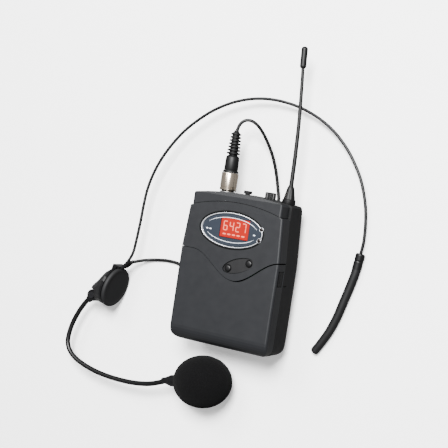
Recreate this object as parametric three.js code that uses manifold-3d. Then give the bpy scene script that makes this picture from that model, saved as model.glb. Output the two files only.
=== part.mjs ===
// A wireless bodypack transmitter with its wired headworn microphone, lying on a table.
// Millimetres. +Z is up, away from the table; +Y is the antenna end; the pack's front faces +Z.
// The origin is the middle of the belt clip's outer face, which rests on the table.
import * as THREE from "three";
import { mergeVertices } from "three/addons/utils/BufferGeometryUtils.js";
import Module from "manifold-3d";

const wasm = await Module();
wasm.setup();

// Driving dimensions of the pack
const GAP = 0.3; // between neighbouring pieces
const PACK_W = 71.5;
const PANEL_TOP_W = 67.7;
const CAP_W = 64.5;
const PACK_H = 97;
const BACK_Z = 9.7; // the pack's back above the table
const FRONT_Z = 39;
const SPLIT_Z = 28.4; // between the rear shell and the front pieces
const WALL = 1.8;
const BOTTOM_Y = -PACK_H / 2;
const TOP_Y = PACK_H / 2;
const TOP_ARCH = 2.7; // how far the top edge rises at its middle
const SHOULDER_Y = 39.3;
const CORNER_R = 6.5;
const WAVE_Y = 12; // the battery door's edge at the pack's sides
const WAVE_DIP = 16.2;
const WAVE_X = 5;
const WAVE_SPAN = 32;
const ARC_Y = 45.2; // the seam between the control panel and the top cap
const ARC_SAG = 5.6;
// Display, buttons and battery door
const OVAL = { x: -0.9, y: 27.4, a: 23.2, b: 12 };
const DISPLAY = { x: 1, y: 28.7, w: 20.2, h: 12.4 };
const LEDS = [["led_upper", 20.2, 30.9], ["led_lower", 19.6, 23.8]];
const RECESS = { x: 7.5, y: 5.9, a: 11.3, b: 4.6, turn: 0.344 };
const BUTTONS = [["button_left", 0.3, 3.2], ["button_right", 14.6, 8.3]];
const BUTTON_R = 2.2;
const HINGE = { y: -46.9, z: 27, r: 1.6, pin: 0.8, bore: 1.1 };
const LATCH = { y0: -2.9, y1: 6.9, z0: 29.6, z1: 37.2 };
const CELL = { r: 7.2, half: 25.2, z: 21.5, rows: [-12.3, -28.1] };
const BOARD_Z = 29.0;
// Belt clip
const CLIP = { w: 26, y0: -32, y1: 31, t: 1.8, pivotY: 25, pivotZ: 5.2 };
// Controls on the top edge
const TOP_Z = 22;
const JACK_X = -17;
const SWITCH_X = -2;
const KNOB_X = 14.5;
const ANTENNA_X = 27.8;
const PLUG = { r: 5.5, y0: 51.7, y1: 63.4 };
const BOOT_END_Y = 90.2;
// Headset
const CORD_D = 2.2;
const WIRE_D = 1.8;
const BOOM_D = 3.2;
const PAD = { x: -96.5, y: -27.5, z: 14.5, r: 14.3, t: 3 };
const PAD_TURN = -0.209; // the pad's normal, turned from +X about Z
const KNUCKLE = { a: 15.8, b: -11.8, c: -2, r: 4.2 };
const FORK_IN = 3.5; // the fork ears, from the hinge's middle
const FORK_OUT = 5.1;
const FOAM = { x: -16.6, y: -76, z: 17.6, r: 17.6, half: 20.6, turn: 0.19 };
const SLEEVE_D = 5.8;
const HANK = { x: -38.5, y: -6, half: 18, r: 10.4, z0: 1, z1: 8.1 };

const SIDES = 20;
const root = new THREE.Group();

const material = (color, roughness, metalness = 0) =>
  new THREE.MeshStandardMaterial({ color, roughness, metalness });
const paint = {
  shell: () => material("#3d3e41", 0.5),
  dark: () => material("#1c1c1e", 0.6),
  rubber: () => material("#151516", 0.8),
  chrome: () => material("#c9c6c0", 0.2, 1),
  steel: () => material("#9a9c9e", 0.35, 1),
  board: () => material("#1d5a35", 0.55),
  red: () => material("#d8301e", 0.3),
  foam: () => material("#1a1a1b", 0.95),
  cell: () => material("#3f5f86", 0.4),
  brass: () => material("#b08a3e", 0.35, 1),
};

// A closed three.js geometry as a solid for cutting and joining.
function solid(geometry) {
  const loose = geometry.index ? geometry.toNonIndexed() : geometry.clone();
  loose.deleteAttribute("normal");
  loose.deleteAttribute("uv");
  const merged = mergeVertices(loose, 1e-4);
  const at = merged.index.array;
  const kept = [];
  for (let i = 0; i < at.length; i += 3) {
    const [a, b, c] = [at[i], at[i + 1], at[i + 2]];
    if (a !== b && b !== c && c !== a) kept.push(a, b, c);
  }
  const build = (tris) =>
    new wasm.Manifold(
      new wasm.Mesh({
        numProp: 3,
        vertProperties: merged.attributes.position.array,
        triVerts: new Uint32Array(tris),
      }),
    );
  const made = build(kept);
  return made.volume() > 0 ? made : build(kept.reverse());
}

function geometryOf(body) {
  const m = body.getMesh();
  return new THREE.BufferGeometry()
    .setAttribute("position", new THREE.BufferAttribute(m.vertProperties, 3))
    .setIndex(new THREE.BufferAttribute(m.triVerts, 1));
}

function add(name, body, look, parent = root) {
  const geometry = geometryOf(body);
  geometry.computeVertexNormals();
  const mesh = new THREE.Mesh(geometry, look);
  mesh.name = name;
  parent.add(mesh);
  return mesh;
}

const moved = (geometry, x, y, z) => geometry.translate(x, y, z);
const block = (x0, x1, y0, y1, z0, z1) =>
  solid(
    moved(new THREE.BoxGeometry(x1 - x0, y1 - y0, z1 - z0), (x0 + x1) / 2, (y0 + y1) / 2, (z0 + z1) / 2),
  );
const join = (...bodies) => bodies.reduce((a, b) => a.add(b));
const cut = (body, ...tools) => tools.reduce((a, b) => a.subtract(b), body);

// A lathed body along Y from [radius, y] pairs, standing at x, z.
function turned(profile, x, z, sides = SIDES) {
  const points = profile.map(([r, y]) => new THREE.Vector2(r, y));
  return solid(moved(new THREE.LatheGeometry(points, sides), x, 0, z));
}
const rodY = (r, y0, y1, x, z, sides = SIDES) =>
  turned([[0, y0], [r, y0], [r, y1], [0, y1]], x, z, sides);

function rodZ(r, z0, z1, x, y, sides = SIDES) {
  const g = new THREE.CylinderGeometry(r, r, z1 - z0, sides).rotateX(Math.PI / 2);
  return solid(moved(g, x, y, (z0 + z1) / 2));
}

function rodX(r, x0, x1, y, z, sides = SIDES) {
  const g = new THREE.CylinderGeometry(r, r, x1 - x0, sides).rotateZ(Math.PI / 2);
  return solid(moved(g, (x0 + x1) / 2, y, z));
}

function extruded(shape, z0, z1, segments = 6) {
  const options = { depth: z1 - z0, bevelEnabled: false, curveSegments: segments };
  return solid(moved(new THREE.ExtrudeGeometry(shape, options), 0, 0, z0));
}

function oval(x, y, a, b, turn = 0, points = 32) {
  const curve = new THREE.EllipseCurve(x, y, a, b, 0, 2 * Math.PI, false, turn);
  return new THREE.Shape(curve.getPoints(points).slice(0, points));
}
const disc = (x, y, a, b, z0, z1, turn = 0, points = 32) =>
  extruded(oval(x, y, a, b, turn, points), z0, z1);

// A round tube along a smooth curve through points.
function tube(points, d, sides, step) {
  const curve = new THREE.CatmullRomCurve3(points.map((p) => new THREE.Vector3(...p)));
  const section = new THREE.Shape(oval(0, 0, d / 2, d / 2, 0, sides).getPoints());
  const steps = Math.max(2, Math.round(curve.getLength() / step));
  const options = { steps, bevelEnabled: false, extrudePath: curve };
  return solid(new THREE.ExtrudeGeometry(section, options));
}

// A body through closed rings of the same number of points, with flat ends.
function lofted(rings) {
  const n = rings[0].length;
  const at = (i, j) => i * n + (j % n);
  const index = [];
  for (let i = 0; i + 1 < rings.length; i++)
    for (let j = 0; j < n; j++) {
      index.push(at(i, j), at(i, j + 1), at(i + 1, j));
      index.push(at(i, j + 1), at(i + 1, j + 1), at(i + 1, j));
    }
  const last = rings.length - 1;
  for (let j = 1; j + 1 < n; j++) {
    index.push(at(0, 0), at(0, j + 1), at(0, j));
    index.push(at(last, 0), at(last, j), at(last, j + 1));
  }
  const g = new THREE.BufferGeometry().setFromPoints(rings.flat()).setIndex(index);
  return solid(g);
}

const ROLL = 9.5; // how far the bottom roll reaches up the front
const ROLL_STEPS = 8;

// The bottom roll, a quarter turn from the end face to the front and the back: [y, front, back].
const rollAt = (k) => {
  const a = (k / ROLL_STEPS) * (Math.PI / 2);
  return [BOTTOM_Y + ROLL * (1 - Math.cos(a)), 29.5 + 9.5 * Math.sin(a), 19 - 9.3 * Math.sin(a)];
};

// The pack's cross-sections: [y, half width, front z, back z]. The front steps in at the shoulder
// and the rear shell doesn't.
const stations = (capW) => [
  ...Array.from({ length: ROLL_STEPS + 1 }, (_, k) => {
    const [y, front, back] = rollAt(k);
    return [y, PACK_W / 2, front, back];
  }),
  [WAVE_Y, PACK_W / 2, FRONT_Z, BACK_Z],
  [SHOULDER_Y, PANEL_TOP_W / 2, FRONT_Z, BACK_Z],
  [SHOULDER_Y + 0.9, capW / 2, FRONT_Z, BACK_Z],
  [44, capW / 2, FRONT_Z, BACK_Z + 0.2],
  [46.5, capW / 2, FRONT_Z, BACK_Z + 1.2],
  [48.5, capW / 2, FRONT_Z, BACK_Z + 2.6],
  [50.2, capW / 2, FRONT_Z - 0.3, BACK_Z + 4.4],
  [51.4, capW / 2, FRONT_Z - 0.8, BACK_Z + 6.2],
  [52.5, capW / 2, FRONT_Z - 1.7, BACK_Z + 8.4],
];
const FRONT_R = 1.5;
const REAR_R = 2.4;

function section(y, halfWidth, front, back) {
  const ring = [];
  const corner = (sx, z, r, from) => {
    for (let k = 0; k <= 3; k++) {
      const a = from + (k * Math.PI) / 6;
      const x = sx * (halfWidth - r) + r * Math.cos(a);
      ring.push(new THREE.Vector3(x, y, z + r * Math.sin(a)));
    }
  };
  const low = Math.min(REAR_R, (front - back) / 3);
  corner(1, front - FRONT_R, FRONT_R, 0);
  corner(-1, front - FRONT_R, FRONT_R, Math.PI / 2);
  corner(-1, back + low, low, Math.PI);
  corner(1, back + low, low, 1.5 * Math.PI);
  return ring;
}

// The pack seen from the front, drawn in by inset.
function packOutline(inset, capW) {
  const s = new THREE.Shape();
  const low = PACK_W / 2 - inset;
  const mid = PANEL_TOP_W / 2 - inset;
  const cap = capW / 2 - inset;
  const bottom = BOTTOM_Y + inset;
  const top = TOP_Y - inset;
  const r = CORNER_R - inset;
  s.moveTo(low - r, bottom);
  s.absarc(low - r, bottom + r, r, -Math.PI / 2, 0, false);
  s.lineTo(low, WAVE_Y);
  s.lineTo(mid, SHOULDER_Y);
  s.lineTo(cap, SHOULDER_Y + 0.9);
  s.lineTo(cap, top - 1.3);
  s.lineTo(cap - 1.3, top);
  s.quadraticCurveTo(0, top + 2 * TOP_ARCH, 1.3 - cap, top);
  s.lineTo(-cap, top - 1.3);
  s.lineTo(-cap, SHOULDER_Y + 0.9);
  s.lineTo(-mid, SHOULDER_Y);
  s.lineTo(-low, WAVE_Y);
  s.lineTo(-low, bottom + r);
  s.absarc(r - low, bottom + r, r, Math.PI, 1.5 * Math.PI, false);
  return s;
}

// The whole pack as one body, drawn in by inset on every side.
function packBody(inset, capW) {
  const rings = stations(capW).map(([y, w, f, b]) => section(y, w - inset, f - inset, b + inset));
  return lofted(rings).intersect(extruded(packOutline(inset, capW), 0, 60, 8));
}

const waveY = (x) => {
  const u = Math.min(1, Math.abs(x - WAVE_X) / WAVE_SPAN);
  return WAVE_Y - WAVE_DIP * (0.5 + 0.5 * Math.cos(Math.PI * u));
};
const arcY = (x) => ARC_Y - ARC_SAG * (x / (PANEL_TOP_W / 2)) ** 2;

// The region of the front between two seams, as a tall body to cut with.
function between(lower, upper) {
  const xs = Array.from({ length: 43 }, (_, i) => -42 + 2 * i);
  const points = [
    ...xs.map((x) => new THREE.Vector2(x, lower(x))),
    ...xs.reverse().map((x) => new THREE.Vector2(x, upper(x))),
  ];
  return extruded(new THREE.Shape(points), SPLIT_Z + GAP, 60);
}

const HALF = GAP / 2;
const outside = packBody(0, CAP_W);
const shell = outside.subtract(packBody(WALL, CAP_W));
const rearWall = packBody(0, PANEL_TOP_W).subtract(packBody(WALL, PANEL_TOP_W));

// The seam under the control panel opens into a thumb groove on its right half.
const GROOVE = 0.75;
const doorEdge = (x) => {
  const u = Math.min(1, Math.max(0, (x - 1) / 12));
  const fade = 1 - 0.35 * Math.min(1, Math.max(0, (x - 20) / 14));
  return waveY(x) - HALF - GROOVE * fade * u * u * (3 - 2 * u);
};

const SCREWS = [
  ["case_screw_1", -29.5, 17],
  ["case_screw_2", 29.5, 17],
  ["case_screw_3", -27, 33],
  ["case_screw_4", 27, 33],
];

function rearShell() {
  const tray = rearWall.subtract(block(-50, 50, -60, 60, SPLIT_Z, 60));
  const notch = (x0, x1) => block(x0, x1, -3, -2.2, 23.5, SPLIT_Z + 1);
  const hingeRoom = join(
    block(-29, 29, BOTTOM_Y - 1, -43, 24, SPLIT_Z + 1),
    block(-34, 34, BOTTOM_Y - 1, -45, 24, SPLIT_Z + 1),
  );
  const holes = [
    rodY(5.8, 46, 53, JACK_X, TOP_Z),
    rodY(2.6, 46, 53, KNOB_X, TOP_Z),
    rodY(2.8, 46, 53, ANTENNA_X, TOP_Z),
    block(SWITCH_X - 2.6, SWITCH_X + 4.4, 46, 53, TOP_Z - 1.2, TOP_Z + 1.2),
    ...SCREWS.map(([, x, y]) => rodZ(1.4, 9, 20, x, y, 16)),
    ...SCREWS.map(([, x, y]) => rodZ(2.5, 9, BACK_Z + 1, x, y, 16)),
  ];
  const back = cut(tray, hingeRoom, notch(35.2, 37), notch(-37, -35.2), ...holes);
  add("rear_shell", join(back, clipLugs(), doorLugs()), paint.shell());
}

// Two lugs inside the bottom wall, which carry the ends of the door's hinge pin.
function doorLugs() {
  const { y, z, bore } = HINGE;
  const lug = (x0, x1) => join(rodX(1.45, x0, x1, y, z), block(x0, x1, y - 1.4, y + 1.4, 22, z));
  return cut(join(lug(-31.2, -28.8), lug(28.8, 31.2)), rodX(bore, -32, 32, y, z, 16));
}

// Two lugs moulded on the back, which carry the belt clip's pin.
function clipLugs() {
  const { pivotY, pivotZ } = CLIP;
  const lug = (x0, x1) =>
    join(
      rodX(2.4, x0, x1, pivotY, pivotZ, 16),
      block(x0, x1, pivotY - 2.4, pivotY + 2.4, pivotZ, BACK_Z + 0.5),
    );
  return cut(join(lug(-8.6, -6.3), lug(6.3, 8.6)), rodX(1.3, -10, 10, pivotY, pivotZ, 12));
}

function batteryDoor() {
  const front = shell.intersect(between(() => -60, doorEdge));
  const window = (s) => {
    const [x0, x1] = s > 0 ? [32, 40] : [-40, -32];
    return block(x0, x1, LATCH.y0, LATCH.y1, LATCH.z0, LATCH.z1);
  };
  const barrel = rodX(HINGE.r, -28.5, 28.5, HINGE.y, HINGE.z);
  const web = block(-28.5, 28.5, BOTTOM_Y, HINGE.y, HINGE.z, SPLIT_Z + 2);
  const bore = rodX(HINGE.bore, -30, 30, HINGE.y, HINGE.z, 16);
  const door = cut(join(front, barrel, web), bore, window(1), window(-1));
  add("battery_door", door, paint.shell());
  add("door_hinge_pin", rodX(HINGE.pin, -31, 31, HINGE.y, HINGE.z, 12), paint.steel());
}

// A press tab in the door's side wall, with a leg down inside the rear shell.
function latch(name, s) {
  const side = (x0, x1, ...rest) => (s > 0 ? block(x0, x1, ...rest) : block(-x1, -x0, ...rest));
  const y = [LATCH.y0 + GAP, LATCH.y1 - GAP];
  const pad = side(33.6, 35.5, ...y, LATCH.z0 + GAP, LATCH.z1 - 1.6);
  const rib = side(35.4, 35.7, y[0] + 1.5, y[1] - 1.5, 31.5, 33.5);
  const leg = side(31.9, 33.7, y[0] + 2, y[1] - 2, 24.5, 34.5);
  add(name, join(pad, rib, leg), paint.dark());
}

function frontPanel() {
  const front = shell.intersect(between((x) => waveY(x) + HALF, (x) => arcY(x) - HALF));
  const posts = SCREWS.map(([, x, y]) => rodZ(2.6, 13.6, 37.6, x, y, 16));
  const ties = SCREWS.map(([, x, y]) =>
    x > 0 ? block(x, x + 4, y - 0.8, y + 0.8, 30, 37.6) : block(x - 4, x, y - 0.8, y + 0.8, 30, 37.6),
  );
  const pilots = SCREWS.map(([, x, y]) => rodZ(1.3, 12, 26, x, y, 12));
  const body = join(front, ...posts, ...ties.map((t) => t.intersect(outside)));
  const holes = [
    disc(OVAL.x, OVAL.y, OVAL.a + GAP, OVAL.b + GAP, 30, 50),
    disc(RECESS.x, RECESS.y, RECESS.a, RECESS.b, 30, 50, RECESS.turn),
  ];
  add("control_panel", cut(body, ...holes, ...pilots), paint.shell());
}

function topCap() {
  add("top_cap", shell.intersect(between((x) => arcY(x) + HALF, () => 60)), paint.shell());
}

function caseScrews() {
  for (const [name, x, y] of SCREWS) {
    const head = rodZ(2.1, BACK_Z + 0.2, BACK_Z + 0.9, x, y, 16);
    const shank = rodZ(1, BACK_Z + 0.5, 21, x, y, 12);
    const slot = join(
      block(x - 1.3, x + 1.3, y - 0.2, y + 0.2, BACK_Z, BACK_Z + 0.55),
      block(x - 0.2, x + 0.2, y - 1.3, y + 1.3, BACK_Z, BACK_Z + 0.55),
    );
    add(name, cut(join(head, shank), slot), paint.steel());
  }
}

function display() {
  const { x, y, a, b } = OVAL;
  const lights = LEDS.map(([, lx, ly]) => rodZ(1.35, 30, 50, lx, ly, 12));
  const flange = disc(x, y, a + 1.4, b + 1.2, 35.4, 36.9);
  const rim = join(disc(x, y, a, b, 35.4, 39.3), flange);
  const bore = disc(x, y, a - 1.8, b - 1.6, 30, 45);
  add("display_ring", cut(rim, bore, ...lights), paint.chrome());
  const window = (grow, z0, z1) => {
    const w = DISPLAY.w / 2 + grow;
    const h = DISPLAY.h / 2 + grow;
    return block(DISPLAY.x - w, DISPLAY.x + w, DISPLAY.y - h, DISPLAY.y + h, z0, z1);
  };
  const plate = disc(x, y, a - 2.1, b - 1.9, 37, 38.8);
  add("display_plate", cut(plate, window(GAP, 30, 50), ...lights), material("#54585f", 0.45));
  add("display_window", window(0, 37.2, 38.6), paint.red());
  add("display_module", window(1.5, BOARD_Z + 1.7, 35.1), paint.dark());
  for (const [name, lx, ly] of LEDS)
    add(name, rodZ(1, BOARD_Z + 1.7, 39.1, lx, ly, 12), paint.red());
}

function buttons() {
  const { x, y, a, b, turn } = RECESS;
  const plate = disc(x, y, a - GAP, b - GAP, 36.6, 38.1, turn);
  const wells = BUTTONS.map(([, bx, by]) => rodZ(BUTTON_R + GAP, 30, 45, bx, by));
  add("button_plate", cut(plate, ...wells), paint.dark());
  for (const [name, bx, by] of BUTTONS) {
    const dome = turned([[0, 33.9], [1.2, 33.9], [1.2, 35.2], [2.9, 35.2], [2.9, 36], [BUTTON_R, 36],
      [BUTTON_R, 38.3], [1.5, 38.8], [0, 39]], 0, 0, 20);
    add(name, dome.rotate([90, 0, 0]).translate([bx, by, 0]), paint.dark());
  }
}

function electronics() {
  const notch = (x, y) => rodZ(3.2, 20, 40, x, y, 12);
  const board = block(-25.8, 25.8, -2.2, 37, BOARD_Z, BOARD_Z + 1.4);
  const shield = block(2, 22, 8, 32, BOARD_Z - 4.8, BOARD_Z + 0.2);
  const keys = BUTTONS.flatMap(([, x, y]) => [
    block(x - 3, x + 3, y - 3, y + 3, BOARD_Z + 1.2, BOARD_Z + 3.7),
    rodZ(1.6, BOARD_Z + 3.6, BOARD_Z + 4.2, x, y, 12),
  ]);
  add("main_board", join(cut(board, notch(27, 33), notch(-27, 33)), shield, ...keys), paint.board());
}

function batteries() {
  const { r, half, z, rows } = CELL;
  const y0 = rows[1] - r - 0.8;
  const y1 = rows[0] + r + 0.8;
  const tray = cut(
    block(-31.2, 31.2, y0 - 1.2, y1 + 1.2, 12.9, 23),
    block(-30, 30, y0, y1, 13.9, 24),
  );
  const rib = block(-28, 28, (rows[0] + rows[1]) / 2 - 0.3, (rows[0] + rows[1]) / 2 + 0.3, 13.5, 19);
  add("battery_tray", join(tray, rib), paint.dark());
  rows.forEach((y, i) => {
    const s = i ? -1 : 1;
    const can = rodX(r, -half + 1.2, half - 1.2, y, z);
    const tip = rodX(2.6, Math.min(0, s * half), Math.max(0, s * half), y, z, 16);
    add("battery_" + (i + 1), join(can, tip), paint.cell());
  });
  const plate = (s, y) =>
    join(
      block(s > 0 ? 29.1 : -29.6, s > 0 ? 29.6 : -29.1, y - 4.5, y + 4.5, 15.2, z + 6),
      rodX(2.2, s > 0 ? 25.7 : -29.3, s > 0 ? 29.3 : -25.7, y, z, 16),
    );
  const spring = (s, y) => {
    const coil = Array.from({ length: 37 }, (_, k) => {
      const u = k / 36;
      const turn = u * 6 * Math.PI;
      const rad = 4 - 1.6 * u;
      return [s * (29.2 - 4 * u), y + rad * Math.cos(turn), z + rad * Math.sin(turn)];
    });
    const foot = block(s > 0 ? 29.1 : -29.6, s > 0 ? 29.6 : -29.1, y - 4.5, y + 4.5, 17, z + 6);
    return join(tube(coil, 0.6, 6, 2.4), foot);
  };
  const strap = block(29.1, 29.6, rows[1], rows[0], z + 3, z + 6);
  add("contact_link", join(plate(1, rows[0]), spring(1, rows[1]), strap), paint.steel());
  add("contact_plus", plate(-1, rows[1]), paint.steel());
  add("contact_minus", spring(-1, rows[0]), paint.steel());
}

function beltClip() {
  const { w, y0, y1, t, pivotY, pivotZ } = CLIP;
  const plate = join(
    extruded(clipOutline(), 0, t),
    block(-w / 2 + 2, w / 2 - 2, y0 + 1, y0 + 2.6, t - 0.2, 4.4),
  );
  const knuckle = (x0, x1) =>
    join(
      rodX(2.4, x0, x1, pivotY, pivotZ, 16),
      block(x0, x1, pivotY - 1.8, pivotY + 1.8, t - 0.2, pivotZ),
    );
  const arm = join(plate, knuckle(-6, -3.2), knuckle(3.2, 6));
  add("belt_clip", cut(arm, rodX(1.3, -7, 7, pivotY, pivotZ, 12)), paint.dark());
  add("clip_pin", rodX(1, -8.9, 8.9, pivotY, pivotZ, 12), paint.steel());
  const coil = Array.from({ length: 31 }, (_, k) => {
    const turn = (k / 30) * 5 * Math.PI;
    return [-2.3 + (4.6 * k) / 30, pivotY + 1.75 * Math.cos(turn), pivotZ + 1.75 * Math.sin(turn)];
  });
  add("clip_spring", tube(coil, 0.7, 6, 1.6), paint.steel());
}

function clipOutline() {
  const { w, y0, y1 } = CLIP;
  const r = 5;
  const s = new THREE.Shape();
  s.moveTo(w / 2 - r, y0);
  s.absarc(w / 2 - r, y0 + r, r, -Math.PI / 2, 0, false);
  s.absarc(w / 2 - r, y1 - r, r, 0, Math.PI / 2, false);
  s.absarc(r - w / 2, y1 - r, r, Math.PI / 2, Math.PI, false);
  s.absarc(r - w / 2, y0 + r, r, Math.PI, 1.5 * Math.PI, false);
  return s;
}

function topControls() {
  const jack = [[0, 36.5], [5.2, 36.5], [5.2, 46], [6.6, 46], [6.6, 47.4], [5.4, 47.4], [5.4, 51.2],
    [4.5, 51.2], [4.5, 40.8], [0, 40.8]];
  const pins = [0, 1, 2].map((i) => {
    const a = (i * 2 * Math.PI) / 3;
    return rodY(0.45, 40.5, 47.5, JACK_X + 1.7 * Math.cos(a), TOP_Z + 1.7 * Math.sin(a), 8);
  });
  add("mic_jack", join(turned(jack, JACK_X, TOP_Z), ...pins), paint.steel());
  const pot = join(
    block(KNOB_X - 5.5, KNOB_X + 5, 38.5, 46, TOP_Z - 6.5, TOP_Z + 1.5),
    rodY(2.2, 45.8, 49.4, KNOB_X, TOP_Z, 16),
    rodY(1.2, 49.2, 53.4, KNOB_X, TOP_Z, 12),
  );
  add("volume_pot", pot, paint.steel());
  const knob = [[0, 53.7], [1.5, 53.7], [1.5, 51.2], [3.5, 51.2], [3.7, 51.7], [3.6, 54.3],
    [3.2, 54.8], [0, 54.8]];
  add("volume_knob", turned(knob, KNOB_X, TOP_Z), paint.dark());
  add("switch_body", block(SWITCH_X - 4.6, SWITCH_X + 6, 41, 48, TOP_Z - 4, TOP_Z + 4), paint.steel());
  const slider = join(
    block(SWITCH_X - 2.1, SWITCH_X + 2.1, 51.6, 53.6, TOP_Z - 1.9, TOP_Z + 1.9),
    block(SWITCH_X - 1.6, SWITCH_X + 1.4, 48.3, 51.8, TOP_Z - 0.9, TOP_Z + 0.9),
  );
  add("power_switch", slider, paint.dark());
}

function antenna() {
  const socket = [[0, 38.5], [2.1, 38.5], [2.1, 50.2], [0, 50.2]];
  add("antenna_socket", turned(socket, ANTENNA_X, TOP_Z, 16), paint.brass());
  const cone = [[0, 50.5], [4.3, 50.5], [4.1, 52], [2.4, 58.6], [2.1, 60], [0, 60]];
  add("antenna_base", turned(cone, ANTENNA_X, TOP_Z), paint.rubber());
  add("antenna_rod", tube(ANTENNA_PATH, 2.2, 8, 7), paint.dark());
  const [x, , z] = ANTENNA_PATH.at(-1);
  const tip = tube([[x - 0.02, 136.6, z], [x - 0.4, 143, z], [x - 0.8, 149.5, z]], 3.7, 12, 4);
  add("antenna_tip", tip, paint.rubber());
}

const ANTENNA_PATH = [
  [27.8, 60.3, 22],
  [27.5, 77, 22],
  [26.9, 93, 22],
  [26.1, 106, 22],
  [25.1, 118, 22],
  [24.0, 130, 22],
  [23.3, 136.3, 22],
];

// The plug, its cord and the headset that it serves.
const CORD_AT_POD = [
  [-89.7, -8, 10.1],
  [-88.6, -7.6, 8.9],
  [-85.4, -6.2, 5.8],
  [-81.6, -5.1, 2.7],
  [-77, -4.2, 1.5],
  [-69.2, -3.2, 1.2],
  [-63.4, -3.1, 1.2],
  [-58.5, -3.5, 1.2],
  [-54.6, -5.1, 1.3],
  [-51.9, -7.8, 1.6],
  [-50.3, -10.5, 2.2],
];
const CORD_AT_PLUG = [
  [-29.5, 21.7, 5.8],
  [-28.3, 27, 4.4],
  [-25, 32.8, 2.7],
  [-19, 36.8, 1.4],
  [-10, 38.4, 1.2],
  [-1, 38.8, 1.2],
  [5.5, 40.8, 1.2],
  [9.4, 45.2, 1.2],
  [10.4, 50.6, 1.2],
  [9.2, 57, 1.8],
  [7.6, 64.7, 3],
  [5.7, 72.9, 5],
  [3.4, 80.3, 7.5],
  [0.6, 86.9, 10.4],
  [-2, 92.2, 13.4],
  [-5.2, 96.6, 16.4],
  [-8.8, 98.9, 18.8],
  [-12.6, 98.6, 20.6],
  [-15.6, 95.6, 21.6],
  [-17, 90.6, 22],
];
const HEADBAND = [
  [-93.2, -11.9, 16],
  [-89.6, -7.2, 15.8],
  [-86.9, -0.8, 15.5],
  [-85.8, 8.1, 15.4],
  [-84.8, 20.9, 15.3],
  [-84.2, 32.8, 15.3],
  [-83.2, 43.4, 15.2],
  [-80.6, 54.2, 15],
  [-76.2, 65.2, 14.7],
  [-70, 76, 14.2],
  [-61.9, 86.7, 13.6],
  [-52.7, 95.5, 12.9],
  [-42.1, 103.5, 12],
  [-30.6, 109.5, 11.1],
  [-19.4, 113.2, 10.2],
  [-8.8, 114.9, 9.5],
  [1.2, 115, 8.7],
  [11, 113.8, 7.9],
  [20.2, 111.6, 7.2],
  [29.6, 108, 6.5],
  [38.6, 103.2, 5.8],
  [47.1, 96.9, 5.2],
  [55.2, 88.6, 4.5],
  [62, 79.2, 4],
  [66.8, 70.8, 3.7],
  [70.3, 61.8, 3.4],
  [72.7, 52.9, 3.2],
  [74.1, 43.5, 3.1],
  [74.7, 34, 3.1],
  [74.4, 29, 3.1],
  [73.8, 24, 3.1],
  [73.2, 19, 3.1],
  [72.6, 14, 3.1],
];
const BOOM = [
  [-120.6, -40.3, 12.5],
  [-122.4, -42.6, 12.6],
  [-126.1, -48.8, 12.9],
  [-130, -58, 13.2],
  [-131.8, -66.4, 13.6],
  [-131.6, -73.1, 14],
  [-128.5, -78.6, 14.3],
  [-122.2, -82.9, 14.7],
  [-113.3, -86, 15],
  [-103.1, -88.1, 15.4],
  [-92.3, -89.2, 15.8],
  [-80.2, -89.4, 16.1],
  [-68.3, -88.6, 16.6],
  [-56.8, -86.4, 17.1],
  [-46.4, -82.6, 17.6],
];
const SLEEVE = [
  [72.35, 12, 3.1],
  [71.2, 7, 3.1],
  [69.7, 1, 3.1],
  [67.4, -7.7, 3.1],
  [64.7, -17.6, 3.1],
  [61.2, -27, 3.1],
  [56.9, -35.3, 3.1],
  [52.4, -42.8, 3.1],
];

function plug() {
  const { r, y0, y1 } = PLUG;
  const metal = [[4.4, y0], [r - 0.3, y0], [r, y0 + 0.6], [r, y1 - 0.5], [r - 0.4, y1], [3.4, y1],
    [3.4, y1 - 1.6], [4.4, y1 - 1.6], [4.4, y0]];
  add("plug_shell", turned(metal, JACK_X, TOP_Z), paint.chrome());
  const insert = [[3.1, 43], [4.1, 43], [4.1, 61.4], [0, 61.4], [0, 49], [3.1, 49], [3.1, 43]];
  add("plug_insert", turned(insert, JACK_X, TOP_Z), paint.dark());
  const collar = [[0, 63.7], [4.8, 63.7], [4.8, 65], [4.3, 65.4], [0, 65.4]];
  add("plug_collar", turned(collar, JACK_X, TOP_Z), paint.dark());
  const boot = [[0, 65.7], [4.1, 65.7], [4, 73.6], [3.3, 74.6]];
  for (let i = 0; i < 7; i++) {
    const y = 75 + 2.1 * i;
    const fat = 3.15 - 0.06 * i;
    boot.push([2.4, y], [2.4, y + 0.7], [fat, y + 0.8], [fat, y + 1.9]);
  }
  boot.push([2.2, BOOT_END_Y - 0.3], [2, BOOT_END_Y], [0, BOOT_END_Y]);
  add("cable_boot", turned(boot, JACK_X, TOP_Z, 14), paint.rubber());
}

function stadium(grow) {
  const { x, y, half, r } = HANK;
  const s = new THREE.Shape();
  s.absarc(x, y + half, r + grow, 0, Math.PI, false);
  s.absarc(x, y - half, r + grow, Math.PI, 2 * Math.PI, false);
  return s;
}

function cord() {
  add("cord_run_pod", tube(CORD_AT_POD, CORD_D, 8, 5), paint.rubber());
  add("cord_run_plug", tube(CORD_AT_PLUG, CORD_D, 8, 5.5), paint.rubber());
  add("cord_hank", extruded(stadium(0), HANK.z0, HANK.z1, 10), paint.rubber());
  const band = extruded(stadium(0.9), HANK.z0 - 1, HANK.z1 + 1)
    .subtract(extruded(stadium(GAP), HANK.z0 - GAP, HANK.z1 + GAP))
    .intersect(block(-60, 0, -4, 1, -1, 12));
  add("cord_tie", band, paint.dark());
}

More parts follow.
